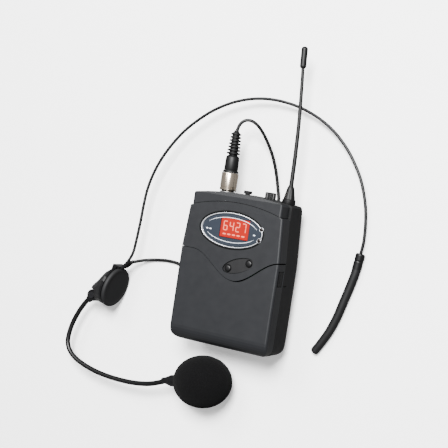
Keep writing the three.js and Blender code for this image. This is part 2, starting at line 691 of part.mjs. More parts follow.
// The pod's own frame: a is out from the pad, b along the pod, c up.
function pod() {
  const group = new THREE.Group();
  group.position.set(PAD.x, PAD.y, PAD.z);
  group.rotation.z = PAD_TURN;
  root.add(group);
  group.updateMatrixWorld(true);
  const ringAt = (a, b, halfB, halfC) =>
    Array.from({ length: 24 }, (_, i) => {
      const w = (i * Math.PI) / 12;
      return new THREE.Vector3(-a, b + halfB * Math.cos(w), halfC * Math.sin(w));
    });
  const { r, t } = PAD;
  const round = (a, radius) => ringAt(a, 0, radius, radius);
  const pad = lofted([round(0, r - 0.9), round(0.7, r), round(t - 0.5, r), round(t, r - 0.6)]);
  add("ear_pad", pad, paint.rubber(), group);
  const body = lofted([
    ringAt(t + GAP, 0, r - 0.3, r - 0.3),
    ringAt(5, 0, r - 0.2, r - 0.3),
    ringAt(9, -1.9, 12.2, 11.6),
    ringAt(13, -5.6, 8.4, 9),
    ringAt(16, -7.6, 6.2, 7),
  ]);
  const lug = join(block(-6.5, -3.3, 10, 15.6, -6.6, 4.6), block(-6.5, -1, 14.5, 15.6, -6.6, 4.6));
  const corner = block(-22, -11.2, -22, KNUCKLE.b + 5.8, -20, 20);
  const shaftHole = hingeRod(1.25, -9, 9, 12);
  const ear = (c0, c1) =>
    join(hingeRod(KNUCKLE.r, c0, c1), block(-KNUCKLE.a, -9, -13.6, -7.6, KNUCKLE.c + c0, KNUCKLE.c + c1));
  const fork = [ear(FORK_IN, FORK_OUT), ear(-FORK_OUT, -FORK_IN)];
  const housing = join(cut(join(body, lug), corner), ...fork);
  add("pod_housing", cut(housing, shaftHole), paint.shell(), group);
  // The neck reaches out of the boss to the boom's first point.
  const start = group.worldToLocal(new THREE.Vector3(...BOOM[0]));
  const middle = new THREE.Vector3(-KNUCKLE.a, KNUCKLE.b, KNUCKLE.c);
  const end = start.clone().addScaledVector(middle.clone().sub(start).normalize(), 2 * GAP);
  const neck = tube([middle.toArray(), end.toArray()], 5, 12, 4);
  const boss = hingeRod(KNUCKLE.r, -3.2, 2.4);
  add("boom_knuckle", cut(join(boss, neck), shaftHole), paint.dark(), group);
  add("pivot_washer", cut(hingeRod(3.2, 2.7, 3.2), shaftHole), paint.steel(), group);
  const screw = join(hingeRod(0.95, -5, 5.6, 12), hingeRod(2.2, 5.4, 6.2, 16));
  const slot = block(-KNUCKLE.a - 3, -KNUCKLE.a + 3, KNUCKLE.b - 0.25, KNUCKLE.b + 0.25, 3.8, 6);
  add("pivot_screw", cut(screw, slot), paint.steel(), group);
}

// A rod on the boom hinge's axis, in the pod's frame; c0 and c1 are from the hinge's middle.
const hingeRod = (r, c0, c1, sides = SIDES) =>
  rodZ(r, KNUCKLE.c + c0, KNUCKLE.c + c1, -KNUCKLE.a, KNUCKLE.b, sides);

function gland() {
  const from = new THREE.Vector3(-93.8, -11.1, 10.9);
  const to = new THREE.Vector3(-90.5, -8.5, 10.6);
  const axis = new THREE.Vector3().subVectors(to, from);
  const g = new THREE.CylinderGeometry(1.6, 2, axis.length(), 16);
  const up = new THREE.Vector3(0, 1, 0);
  g.applyQuaternion(new THREE.Quaternion().setFromUnitVectors(up, axis.clone().normalize()));
  const middle = from.clone().add(to).multiplyScalar(0.5);
  add("cable_gland", solid(moved(g, middle.x, middle.y, middle.z)), paint.rubber());
}

function headband() {
  add("headband_wire", tube(HEADBAND, WIRE_D, 8, 6), paint.steel());
  const bore = tube([[75.1, 34, 3.1], [74.4, 28.9, 3.1], [73.2, 19, 3.1], [71.8, 7.5, 3.1]], 2.8, 10, 9);
  const collar = tube([[74, 25, 3.1], [73.45, 20.5, 3.1], [72.9, 16, 3.1]], 6.2, 16, 4.6);
  add("temple_collar", collar.subtract(bore), paint.dark());
  const sleeve = tube([[72.85, 15.6, 3.1], ...SLEEVE], SLEEVE_D, 12, 5);
  add("temple_sleeve", sleeve.subtract(bore), paint.rubber());
}

function microphone() {
  add("boom_gooseneck", tube(BOOM, BOOM_D, 8, 6), paint.dark());
  const { x, y, z, turn, half, r } = FOAM;
  const group = new THREE.Group();
  group.position.set(x, y, z);
  group.rotation.z = turn - Math.PI / 2;
  root.add(group);
  const ferrule = turned([[0, -29], [1.9, -29], [3.9, -24.5], [3.9, -14.5], [0, -14.5]], 0, 0, 16);
  add("capsule_ferrule", ferrule, paint.dark(), group);
  const capsule = turned([[0, -14.2], [3.9, -14.2], [3.9, -3.6], [3, -2.6], [0, -2.4]], 0, 0, 16);
  add("mic_capsule", capsule, paint.steel(), group);
  const foam = [[4.3, -2]];
  const bore = 4.3;
  const start = Math.acos(bore / r);
  for (let i = 0; i <= 14; i++) {
    const a = -start + (i * (start + Math.PI / 2)) / 14;
    foam.push([Math.max(0, r * Math.cos(a)), half * Math.sin(a)]);
  }
  foam.push([0, -2], [4.3, -2]);
  add("windscreen", turned(foam, 0, 0, 24), paint.foam(), group);
}

rearShell();
batteryDoor();
latch("latch_left", -1);
latch("latch_right", 1);
frontPanel();
topCap();
caseScrews();
display();
buttons();
electronics();
batteries();
beltClip();
topControls();
antenna();
plug();
cord();
pod();
gland();
headband();
microphone();

export default root;
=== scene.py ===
"""A wireless bodypack transmitter and its headworn microphone, lying on a pale table."""

import math

import bmesh
import bpy
from mathutils import Matrix, Vector, noise


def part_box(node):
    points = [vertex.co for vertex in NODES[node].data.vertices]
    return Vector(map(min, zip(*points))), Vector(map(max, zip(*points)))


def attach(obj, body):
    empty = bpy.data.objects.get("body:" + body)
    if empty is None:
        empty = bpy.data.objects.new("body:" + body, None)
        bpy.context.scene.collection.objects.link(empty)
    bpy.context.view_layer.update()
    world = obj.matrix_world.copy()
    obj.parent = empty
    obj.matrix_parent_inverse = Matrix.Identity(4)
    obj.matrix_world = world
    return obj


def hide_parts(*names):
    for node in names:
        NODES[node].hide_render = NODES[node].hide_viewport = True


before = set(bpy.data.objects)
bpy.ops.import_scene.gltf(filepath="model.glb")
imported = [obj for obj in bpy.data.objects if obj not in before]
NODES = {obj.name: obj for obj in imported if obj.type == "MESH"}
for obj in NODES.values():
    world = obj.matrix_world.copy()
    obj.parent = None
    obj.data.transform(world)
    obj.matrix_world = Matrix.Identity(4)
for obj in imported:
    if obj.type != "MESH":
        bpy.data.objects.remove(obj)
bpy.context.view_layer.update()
MM = 0.001

# Sizes in millimetres, as in the CAD model
CORD_D = 2.2
WIRE_D = 1.8
BOOM_D = 3.2
SLEEVE_D = 5.8
FRONT_Z = 39.0
FACE_TOP = 38.83
OVAL = (-0.9, 27.4, 23.2, 12.0)
PAD_TURN = -0.209
FOAM_TURN = 0.19
HANK = {"x": -38.5, "y": -6.0, "half": 18.0}
HANK_TURNS = [(9.1, 2.3), (6.8, 2.3), (4.5, 2.3), (4.5, 4.55), (6.8, 4.55), (9.1, 4.55), (9.1, 6.8)]

# Drawn thicker than the CAD model: the whip's diameters at its foot and tip, and shares of a diameter
ANTENNA_D = (2.9, 2.1)
WIRE_SHARE = 0.56
BOOM_SHARE = 0.54
BOOM_PITCH = 1.2
BOOM_RIPPLE = 0.045

# The camera, in metres, with its lens in millimetres
LENS_MM = 87.82
CAMERA_AT = (0.3247, 0.0581, 0.6511)
CAMERA_RIGHT = (0.8665, 0.1501, -0.4761)
CAMERA_UP = (-0.1508, 0.9879, 0.0371)

# Light: the world's strength, and the floor's half side, colour and glow
WORLD_STRENGTH = 0.4
FLOOR_HALF = 4
FLOOR_COLOR = (0.95, 0.95, 0.95, 1)
FLOOR_GLOW = 0.35

# Routes in millimetres, the same as the CAD model's
CORD_AT_POD = [
    (-89.7, -8.0, 10.1), (-88.6, -7.6, 8.9), (-85.4, -6.2, 5.8), (-81.6, -5.1, 2.7),
    (-77.0, -4.2, 1.5), (-69.2, -3.2, 1.2), (-63.4, -3.1, 1.2), (-58.5, -3.5, 1.2),
    (-54.6, -5.1, 1.3), (-51.9, -7.8, 1.6), (-50.3, -10.5, 2.2),
]
CORD_AT_PLUG = [
    (-29.5, 21.7, 5.8), (-28.3, 27.0, 4.4), (-25.0, 32.8, 2.7), (-19.0, 36.8, 1.4),
    (-10.0, 38.4, 1.2), (-1.0, 38.8, 1.2), (5.5, 40.8, 1.2), (9.4, 45.2, 1.2),
    (10.4, 50.6, 1.2), (9.2, 57.0, 1.8), (7.6, 64.7, 3.0), (5.7, 72.9, 5.0),
    (3.4, 80.3, 7.5), (0.6, 86.9, 10.4), (-2.0, 92.2, 13.4), (-5.2, 96.6, 16.4),
    (-8.8, 98.9, 18.8), (-12.6, 98.6, 20.6), (-15.6, 95.6, 21.6), (-17.0, 90.6, 22.0),
]
HEADBAND = [
    (-93.2, -11.9, 16.0), (-89.6, -7.2, 15.8), (-86.9, -0.8, 15.5), (-85.8, 8.1, 15.4),
    (-84.8, 20.9, 15.3), (-84.2, 32.8, 15.3), (-83.2, 43.4, 15.2), (-80.6, 54.2, 15.0),
    (-76.2, 65.2, 14.7), (-70.0, 76.0, 14.2), (-61.9, 86.7, 13.6), (-52.7, 95.5, 12.9),
    (-42.1, 103.5, 12.0), (-30.6, 109.5, 11.1), (-19.4, 113.2, 10.2), (-8.8, 114.9, 9.5),
    (1.2, 115.0, 8.7), (11.0, 113.8, 7.9), (20.2, 111.6, 7.2), (29.6, 108.0, 6.5),
    (38.6, 103.2, 5.8), (47.1, 96.9, 5.2), (55.2, 88.6, 4.5), (62.0, 79.2, 4.0),
    (66.8, 70.8, 3.7), (70.3, 61.8, 3.4), (72.7, 52.9, 3.2), (74.1, 43.5, 3.1),
    (74.7, 34.0, 3.1), (74.4, 29.0, 3.1), (73.8, 24.0, 3.1), (73.2, 19.0, 3.1),
    (72.6, 14.0, 3.1),
]
BOOM = [
    (-120.6, -40.3, 12.5), (-122.4, -42.6, 12.6), (-126.1, -48.8, 12.9), (-130.0, -58.0, 13.2),
    (-131.8, -66.4, 13.6), (-131.6, -73.1, 14.0), (-128.5, -78.6, 14.3), (-122.2, -82.9, 14.7),
    (-113.3, -86.0, 15.0), (-103.1, -88.1, 15.4), (-92.3, -89.2, 15.8), (-80.2, -89.4, 16.1),
    (-68.3, -88.6, 16.6), (-56.8, -86.4, 17.1), (-46.4, -82.6, 17.6),
]
ANTENNA = [
    (27.8, 60.3, 22.0), (27.5, 77.0, 22.0), (26.9, 93.0, 22.0), (26.1, 106.0, 22.0),
    (25.1, 118.0, 22.0), (24.0, 130.0, 22.0), (23.3, 136.3, 22.0),
]
SLEEVE = [
    (72.85, 15.6, 3.1), (72.35, 12.0, 3.1), (71.2, 7.0, 3.1), (69.7, 1.0, 3.1),
    (67.4, -7.7, 3.1), (64.7, -17.6, 3.1), (61.2, -27.0, 3.1), (56.9, -35.3, 3.1),
    (52.4, -42.8, 3.1),
]

# Routes that run a little past the CAD pieces, into their neighbours, so that no gap shows
COLLAR = [(74.0, 25.0, 3.1), (73.45, 20.5, 3.1), (72.76, 15.0, 3.1)]
TIP = [(23.35, 135.4, 22), (22.9, 143, 22), (22.5, 149.5, 22)]
BOOM_ROOT = (-119.6, -38.9, 12.4)
WIRE_ROOT = (-94.5, -13.6, 16.05)
BUSH = [(-95.2, -12.2, 11.0), (-91.2, -9.1, 10.65), (-90.1, -8.3, 10.4), (-88.9, -7.4, 9.9)]


# ---- Materials ----

def new_material(name):
    """A node material, its nodes and links, and its Principled shader."""
    mat = bpy.data.materials.new(name)
    mat.use_nodes = True
    nodes = mat.node_tree.nodes
    return mat, nodes, mat.node_tree.links, nodes["Principled BSDF"]


def noise_at(nodes, links, scale, detail=3.0, stretch=None):
    """A noise texture in the row frame, in features per metre, stretched along an axis if asked."""
    coords = nodes.new("ShaderNodeTexCoord")
    texture = nodes.new("ShaderNodeTexNoise")
    texture.inputs["Scale"].default_value = scale
    texture.inputs["Detail"].default_value = detail
    source = coords.outputs["Object"]
    if stretch:
        mapping = nodes.new("ShaderNodeMapping")
        mapping.inputs["Scale"].default_value = stretch
        links.new(source, mapping.inputs["Vector"])
        source = mapping.outputs["Vector"]
    links.new(source, texture.inputs["Vector"])
    return texture.outputs["Fac"]


def ramp(nodes, links, fac, low, high, start=0.3, end=0.7):
    """Colour from low to high over the middle of a factor's range."""
    node = nodes.new("ShaderNodeValToRGB")
    node.color_ramp.elements[0].position = start
    node.color_ramp.elements[1].position = end
    node.color_ramp.elements[0].color = (*low, 1)
    node.color_ramp.elements[1].color = (*high, 1)
    links.new(fac, node.inputs["Fac"])
    return node.outputs["Color"]


def spread(nodes, links, fac, low, high):
    """A number from low to high over the middle of a factor's range."""
    node = nodes.new("ShaderNodeMapRange")
    node.inputs["From Min"].default_value = 0.3
    node.inputs["From Max"].default_value = 0.7
    node.inputs["To Min"].default_value = low
    node.inputs["To Max"].default_value = high
    links.new(fac, node.inputs["Value"])
    return node.outputs["Result"]


def bumped(nodes, links, shader, height, strength, depth_mm):
    """Adds a bump of the given depth to a shader."""
    node = nodes.new("ShaderNodeBump")
    node.inputs["Strength"].default_value = strength
    node.inputs["Distance"].default_value = depth_mm * MM
    links.new(height, node.inputs["Height"])
    links.new(node.outputs["Normal"], shader.inputs["Normal"])


def moulded(name, color, rough, metal=0.0, grain=1800, depth=0.03, mottle=0.08, specular=0.5,
            coat=0.0, stretch=None):
    """A moulded or machined finish: mottled colour, uneven gloss and a fine grain."""
    mat, nodes, links, shader = new_material(name)
    low = [c * (1 - mottle) for c in color]
    high = [c * (1 + mottle) for c in color]
    cloud = noise_at(nodes, links, 60)
    links.new(ramp(nodes, links, cloud, low, high), shader.inputs["Base Color"])
    patch = noise_at(nodes, links, 240, 4.0, stretch)
    links.new(spread(nodes, links, patch, rough * 0.94, rough * 1.06), shader.inputs["Roughness"])
    bumped(nodes, links, shader, noise_at(nodes, links, grain, 2.0, stretch), 0.5, depth)
    shader.inputs["Metallic"].default_value = metal
    shader.inputs["Specular IOR Level"].default_value = specular
    shader.inputs["Coat Weight"].default_value = coat
    return mat


def open_foam(name, color):
    """Open-cell foam: pores darkened with painted shade between fine paler walls."""
    mat, nodes, links, shader = new_material(name)
    coords = nodes.new("ShaderNodeTexCoord")
    cells = nodes.new("ShaderNodeTexVoronoi")
    cells.inputs["Scale"].default_value = 1500
    links.new(coords.outputs["Object"], cells.inputs["Vector"])
    distance = cells.outputs["Distance"]
    # Painted shade: the pores are darkened and the walls between them made paler
    pore_shade = [c * 0.35 for c in color]
    wall = [c * 1.7 for c in color]
    links.new(ramp(nodes, links, distance, pore_shade, wall, 0.15, 0.75), shader.inputs["Base Color"])
    bumped(nodes, links, shader, distance, 0.8, 0.25)
    shader.inputs["Roughness"].default_value = 0.95
    shader.inputs["Specular IOR Level"].default_value = 0.08
    shader.inputs["Sheen Weight"].default_value = 0.01
    shader.inputs["Sheen Roughness"].default_value = 0.6
    return mat


def lit(name, color, glow, strength, scale):
    """A glowing display surface, a little uneven from place to place."""
    mat, nodes, links, shader = new_material(name)
    cloud = noise_at(nodes, links, scale)
    low = [c * 0.82 for c in glow]
    links.new(ramp(nodes, links, cloud, low, glow), shader.inputs["Emission Color"])
    shader.inputs["Emission Strength"].default_value = strength
    shader.inputs["Base Color"].default_value = (*color, 1)
    shader.inputs["Roughness"].default_value = 0.3
    shader.inputs["Specular IOR Level"].default_value = 0.25
    return mat


CASE = moulded("case_plastic", (0.0078, 0.0082, 0.0094), 0.42, grain=2600, depth=0.012, mottle=0.04,
               specular=0.25)
# The rear shell: the case plastic made darker and duller, to paint shade on the pack's sides
SHADED_REAR = moulded("rear_plastic_painted_shade", (0.003, 0.003, 0.0033), 0.5, grain=2600, depth=0.012, specular=0.2)
BLACK = moulded("black_plastic", (0.0025, 0.0025, 0.0028), 0.42, grain=2000, specular=0.22)
RECESS = moulded("recess_plastic", (0.0045, 0.0045, 0.005), 0.5, specular=0.25)
# A black bead round the display, made darker and duller than the case to paint the shade of the groove there
SHADE_RIM = moulded("rim_black_painted_shade", (0.0012, 0.0012, 0.0014), 0.55, grain=900, depth=0.006, specular=0.08)
GLOSS = moulded("gloss_black", (0.0025, 0.0025, 0.0028), 0.28, grain=900, depth=0.006, specular=0.28)
RUBBER = moulded("rubber", (0.002, 0.002, 0.0022), 0.5, grain=1400, depth=0.02, specular=0.2)
SLEEVE_RUBBER = moulded("sleeve_rubber", (0.0035, 0.0035, 0.0038), 0.5, grain=1600, specular=0.25)
CORD_JACKET = moulded("cord_jacket", (0.002, 0.002, 0.0022), 0.42, grain=700, specular=0.22)
GOOSENECK = moulded("gooseneck_sleeve", (0.002, 0.002, 0.0022), 0.36, grain=900, depth=0.01,
                    specular=0.25)
PAD = moulded("pad_rubber", (0.005, 0.005, 0.0055), 0.7, grain=1500, depth=0.06, specular=0.3)
WIRE = moulded("black_wire", (0.004, 0.004, 0.0045), 0.42, metal=0.2, grain=600, depth=0.01,
               specular=0.25)
NICKEL = moulded("nickel", (0.64, 0.55, 0.45), 0.2, metal=1.0, mottle=0.05, depth=0.008,
                 stretch=(1.0, 0.06, 1.0))
DARK_STEEL = moulded("dark_steel", (0.02, 0.02, 0.022), 0.38, metal=0.8, mottle=0.06, depth=0.01)
STEEL = moulded("steel", (0.56, 0.56, 0.57), 0.32, metal=1.0, mottle=0.06, depth=0.01)
SILVER = moulded("silver_trim", (0.72, 0.74, 0.78), 0.3, metal=0.7, mottle=0.04, depth=0.006)
FACE = moulded("smoked_face", (0.011, 0.0145, 0.021), 0.38, grain=500, depth=0.006, specular=0.25)
PRINT = moulded("pale_print", (0.62, 0.66, 0.72), 0.45, grain=1200, depth=0.006, mottle=0.05)
BOARD = moulded("solder_mask", (0.015, 0.10, 0.04), 0.4, mottle=0.3)
CELL = moulded("cell_sleeve", (0.05, 0.12, 0.28), 0.3, metal=0.3)
LENS = moulded("dark_lens", (0.004, 0.002, 0.002), 0.3, grain=300, depth=0.004, specular=0.3)
FOAM = open_foam("windscreen_foam", (0.0009, 0.0009, 0.001))
SCREEN = lit("display_screen", (0.12, 0.004, 0.002), (1.0, 0.016, 0.004), 0.5, 260)
DIGITS = lit("display_digits", (0.4, 0.1, 0.07), (1.0, 0.2, 0.12), 0.8, 900)


# ---- Mesh helpers ----

def add(name, bm, material, body, sharp=38):
    """A mesh object that rides on a body, smooth except across sharp edges."""
    bmesh.ops.recalc_face_normals(bm, faces=bm.faces)
    mesh = bpy.data.meshes.new(name)
    bm.to_mesh(mesh)
    bm.free()
    mesh.polygons.foreach_set("use_smooth", [True] * len(mesh.polygons))
    mesh.set_sharp_from_angle(angle=math.radians(sharp))
    mesh.materials.append(material)
    obj = bpy.data.objects.new(name, mesh)
    bpy.context.scene.collection.objects.link(obj)
    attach(obj, body)
    return obj


def edge(obj, width, angle=32, segments=2):
    """Rounds an object's sharp edges by a width in millimetres."""
    bevel = obj.modifiers.new("edges", "BEVEL")
    bevel.width = width * MM
    bevel.segments = segments
    bevel.limit_method = "ANGLE"
    bevel.angle_limit = math.radians(angle)
    bevel.harden_normals = False
    obj.modifiers.new("normals", "WEIGHTED_NORMAL").keep_sharp = True


def skin(rings):
    """A closed body through rings of the same number of points, with flat ends."""
    bm = bmesh.new()
    loops = [[bm.verts.new(p) for p in ring] for ring in rings]
    for a, b in zip(loops, loops[1:]):
        for i in range(len(a)):
            j = (i + 1) % len(a)
            bm.faces.new((a[i], a[j], b[j], b[i]))
    bm.faces.new(loops[0][::-1])
    bm.faces.new(loops[-1])
    return bm


def band(rings):
    """A closed ring-shaped body: the last ring joins the first."""
    bm = bmesh.new()
    loops = [[bm.verts.new(p) for p in ring] for ring in rings]
    for a, b in zip(loops, loops[1:] + loops[:1]):
        for i in range(len(a)):
            j = (i + 1) % len(a)
            bm.faces.new((a[i], a[j], b[j], b[i]))
    return bm


def smooth(points, cuts=8):
    """Points in metres along a Catmull-Rom curve through points in millimetres."""
    knots = [Vector(p) * MM for p in points]
    knots = [2 * knots[0] - knots[1], *knots, 2 * knots[-1] - knots[-2]]
    path = []
    for a, b, c, d in zip(knots, knots[1:], knots[2:], knots[3:]):
        for k in range(cuts):
            t = k / cuts
            curve = 2 * b + (c - a) * t + (2 * a - 5 * b + 4 * c - d) * t * t
            path.append(0.5 * (curve + (3 * b - a - 3 * c + d) * t**3))
    path.append(knots[-2])
    return path


def lengths(path):
    """The length along a path at each of its points."""
    total = [0.0]
    for a, b in zip(path, path[1:]):
        total.append(total[-1] + (b - a).length)
    return total


def even(path, step, ends=0.0):
    """The path again at an even step in millimetres, with closer points over its two ends."""
    along = lengths(path)
    total = along[-1]
    count = max(2, round(total / (step * MM)))
    stops = {total * i / count for i in range(count + 1)}
    for k in range(1, 6):
        near = ends * MM * (k / 5) ** 2
        if 0 < near < total / 2:
            stops.update((near, total - near))
    out, i = [], 0
    for s in sorted(stops):
        while i + 2 < len(along) and along[i + 1] < s:
            i += 1
        share = (s - along[i]) / max(along[i + 1] - along[i], 1e-12)
        out.append(path[i].lerp(path[i + 1], min(max(share, 0), 1)))
    return out


def sweep(path, radius, sides=16):
    """Rings of a round tube along a path; radius(length, total) is in millimetres."""
    along = lengths(path)
    rings = []
    normal = None
    for i, p in enumerate(path):
        ahead = (path[min(i + 1, len(path) - 1)] - path[max(i - 1, 0)]).normalized()
        if normal is None:
            normal = ahead.orthogonal()
        normal = (normal - ahead * normal.dot(ahead)).normalized()
        across = ahead.cross(normal)
        r = radius(along[i] / MM, along[-1] / MM) * MM
        turn = [2 * math.pi * k / sides for k in range(sides)]
        rings.append([p + r * (math.cos(a) * normal + math.sin(a) * across) for a in turn])
    return rings


def rounded(r, lip):
    """A tube radius whose two ends are rounded over a lip in millimetres."""
    def at(s, total):
        near = min(s, total - s)
        if near >= lip:
            return r
        return max(r - lip, 0) + math.sqrt(max(lip**2 - (lip - near) ** 2, 1e-4))
    return at


def lathe(profile, place, sides=48):
    """Rings of a body turned about place's Z axis, from (radius, height) pairs in millimetres."""
    turn = [2 * math.pi * k / sides for k in range(sides)]
    return [
        [place @ (Vector((r * math.cos(a), r * math.sin(a), h)) * MM) for a in turn]
        for r, h in profile
    ]


def along_y(node):
    """A place whose Z axis is the row's Y axis, through the middle of a CAD node's box."""
    low, high = (Vector(p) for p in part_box(node))
    middle = (low + high) / 2
    return Matrix.Translation((middle.x, 0, middle.z)) @ Matrix.Rotation(-math.pi / 2, 4, "X")


def polish(node, material, width=0.25, angle=32):
    """Gives a CAD node a material, clean facets and rounded edges."""
    obj = NODES[node]
    obj.data.materials.clear()
    obj.data.materials.append(material)
    obj.data.polygons.foreach_set("use_smooth", [True] * len(obj.data.polygons))
    obj.data.set_sharp_from_angle(angle=math.radians(angle))
    flat = obj.modifiers.new("facets", "DECIMATE")
    flat.decimate_type = "DISSOLVE"
    flat.angle_limit = math.radians(0.6)
    if width:
        edge(obj, width, angle)


# ---- Camera, light and floor ----

def camera():
    """The camera, turned by its right and up directions."""
    data = bpy.data.cameras.new("camera")
    data.lens = LENS_MM
    data.sensor_width = 36
    data.clip_start = 0.01
    obj = bpy.data.objects.new("camera", data)
    right = Vector(CAMERA_RIGHT)
    up = Vector(CAMERA_UP)
    back = right.cross(up)
    turn = Matrix((right, up, back)).transposed().to_4x4()
    obj.matrix_world = Matrix.Translation(CAMERA_AT) @ turn
    bpy.context.scene.collection.objects.link(obj)
    bpy.context.scene.camera = obj


def softbox(name, place, target, size, power):
    """A rectangular area light, in metres and watts, turned to face a target."""
    data = bpy.data.lights.new(name, "AREA")
    data.shape = "RECTANGLE"
    data.size, data.size_y = size
    data.energy = power
    obj = bpy.data.objects.new(name, data)
    obj.location = place
    obj.rotation_euler = (Vector(target) - Vector(place)).to_track_quat("-Z", "Y").to_euler()
    bpy.context.scene.collection.objects.link(obj)


def studio():
    world = bpy.data.worlds.new("studio")
    world.use_nodes = True
    background = world.node_tree.nodes["Background"]
    background.inputs["Color"].default_value = (1.0, 1.0, 1.0, 1)
    background.inputs["Strength"].default_value = WORLD_STRENGTH
    bpy.context.scene.world = world
    softbox("overhead", (0.35, 0.6, 1.3), (0, 0.02, 0), (0.5, 0.5), 96)
    softbox("side", (-0.25, 0.5, 0.8), (0, 0, 0), (0.4, 0.4), 9)


def floor():
    """A plain pale table that the object's lighting and reflections leave out."""
    bm = bmesh.new()
    bmesh.ops.create_grid(bm, x_segments=1, y_segments=1, size=FLOOR_HALF)
    mesh = bpy.data.meshes.new("floor")
    bm.to_mesh(mesh)
    bm.free()
    mat, nodes, links, shader = new_material("pale_floor")
    shader.inputs["Base Color"].default_value = FLOOR_COLOR
    shader.inputs["Emission Color"].default_value = (1, 1, 1, 1)
    shader.inputs["Emission Strength"].default_value = FLOOR_GLOW
    shader.inputs["Roughness"].default_value = 0.7
    shader.inputs["Specular IOR Level"].default_value = 0.2
    mesh.materials.append(mat)
    obj = bpy.data.objects.new("floor", mesh)
    obj.visible_diffuse = False
    obj.visible_glossy = False
    bpy.context.scene.collection.objects.link(obj)


# ---- The cord ----

def hank_route():
    """Racetrack turns of the surplus cord: down the left side, round, and up the right."""
    x, y, half = HANK["x"], HANK["y"], HANK["half"]
    route = []
    for i, (r, z) in enumerate(HANK_TURNS):
        route.append((x - r, y - 10, z))
        for k in range(7):
            a = math.pi + k * math.pi / 6
            route.append((x + r * math.cos(a), y - half + r * math.sin(a), z))
        route += [(x + r, y - 9, z), (x + r, y, z), (x + r, y + 9, z)]
        if i + 1 == len(HANK_TURNS):
            break
        for k in range(7):
            a = k * math.pi / 6
            route.append((x + r * math.cos(a), y + half + r * math.sin(a), z))
        after, above = HANK_TURNS[i + 1]
        route.append((x - r, y + 9, z))
        route.append((x - (r + after) / 2, y, (z + above) / 2))
    return route


def cord():
    """The whole cord in one tube, its points, the pieces on it and the point where it leaves the pod."""
    route = CORD_AT_POD + hank_route() + CORD_AT_PLUG
    path = even(smooth(route, 6), 1.1)
    obj = add("headset_cord", skin(sweep(path, lambda s, total: CORD_D / 2, 12)), CORD_JACKET, "pack")
    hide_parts("cord_run_pod", "cord_hank", "cord_run_plug")
    pieces = [NODES[n] for n in ("cord_tie", "cable_gland", "plug_shell", "plug_insert", "plug_collar")]
    exit_at = Vector(CORD_AT_POD[0]) * MM
    return obj, path, pieces, exit_at


camera()
studio()
floor()
CORD = cord()


# ---- The pack ----

def case():
    # The rear shell's darker, duller plastic paints shade on the pack's sides
    polish("rear_shell", SHADED_REAR, 0.3)
    for node in ("battery_door", "control_panel", "top_cap"):
        polish(node, CASE, 0.45)
    for node in ("latch_left", "latch_right"):
        polish(node, BLACK, 0.2)
    polish("button_plate", RECESS, 0.3)
    for i in range(1, 5):
        polish("case_screw_%d" % i, STEEL, 0.08)
    polish("belt_clip", BLACK, 0.4)
    polish("clip_pin", STEEL, 0.1)
    polish("clip_spring", STEEL, 0)
    polish("door_hinge_pin", STEEL, 0.1)


def inside():
    for node, material in (
        ("main_board", BOARD), ("battery_tray", BLACK), ("battery_1", CELL), ("battery_2", CELL),
        ("contact_link", STEEL), ("contact_plus", STEEL), ("contact_minus", STEEL),
        ("display_module", BLACK), ("volume_pot", STEEL), ("switch_body", STEEL),
        ("antenna_socket", BLACK), ("plug_insert", BLACK), ("mic_capsule", STEEL),
    ):
        polish(node, material, 0.08)


def oval_point(grow, angle, z):
    x, y, a, b = OVAL
    return Vector((x + (a + grow) * math.cos(angle), y + (b + grow) * math.sin(angle), z)) * MM


def oval_band(name, profile, material, steps=120):
    """A ring that follows the display's oval, from (offset, height) pairs of its section."""
    turn = [2 * math.pi * k / steps for k in range(steps)]
    return add(name, band([[oval_point(g, a, z) for g, z in profile] for a in turn]), material, "pack")


def bead(middle, half, z0, top):
    """The section of a half-round bead."""
    arc = [math.pi * k / 6 for k in range(7)]
    crown = [(middle + half * math.cos(a), top - half * 0.5 + half * 0.5 * math.sin(a)) for a in arc]
    return [(middle + half, z0), *crown, (middle - half, z0)]


def bar(bm, x, y, w, h, z0, z1, lean=0.0):
    """A small flat bar with pointed ends along its longer side."""
    tip = min(w, h) / 2
    if w > h:
        outline = [(-w / 2, 0), (-w / 2 + tip, -tip), (w / 2 - tip, -tip), (w / 2, 0),
                   (w / 2 - tip, tip), (-w / 2 + tip, tip)]
    else:
        outline = [(0, -h / 2), (tip, -h / 2 + tip), (tip, h / 2 - tip), (0, h / 2),
                   (-tip, h / 2 - tip), (-tip, -h / 2 + tip)]
    rings = [
        [bm.verts.new(Vector((x + px + lean * (y + py), y + py, z)) * MM) for px, py in outline]
        for z in (z0, z1)
    ]
    bm.faces.new(rings[0][::-1])
    bm.faces.new(rings[1])
    for i in range(len(outline)):
        j = (i + 1) % len(outline)
        bm.faces.new((rings[0][i], rings[0][j], rings[1][j], rings[1][i]))


# Which of a digit's segments light: top, middle, bottom, upper left, upper right, lower left, lower right
SEGMENTS = {
    "6": "1111011", "4": "0101101", "2": "1110110", "7": "1000101",
}


def digits():
    """Four lit digits and the row of level bars under them."""
    low, high = (Vector(p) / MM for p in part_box("display_window"))
    top = high.z + 0.02
    w, h = 2.5, 5.6
    bm = bmesh.new()
    row = (low.y + high.y) / 2 + 1.1
    for i, digit in enumerate("6427"):
        x = low.x + 3.4 + 4.45 * i
        on = [c == "1" for c in SEGMENTS[digit]]
        for lit_up, dy in zip(on[:3], (h / 2, 0, -h / 2)):
            if lit_up:
                bar(bm, x, row + dy, w, 0.62, top - 0.05, top + 0.06)
        sides = [(-w / 2, h / 4), (w / 2, h / 4), (-w / 2, -h / 4), (w / 2, -h / 4)]
        for lit_up, (dx, dy) in zip(on[3:], sides):
            if lit_up:
                bar(bm, x + dx, row + dy, 0.62, h / 2, top - 0.05, top + 0.06)
    for i in range(5):
        bar(bm, low.x + 3.2 + 3.4 * i, low.y + 2.0, 2.6, 0.9, top - 0.05, top + 0.06)
    obj = add("display_digits", bm, DIGITS, "pack")


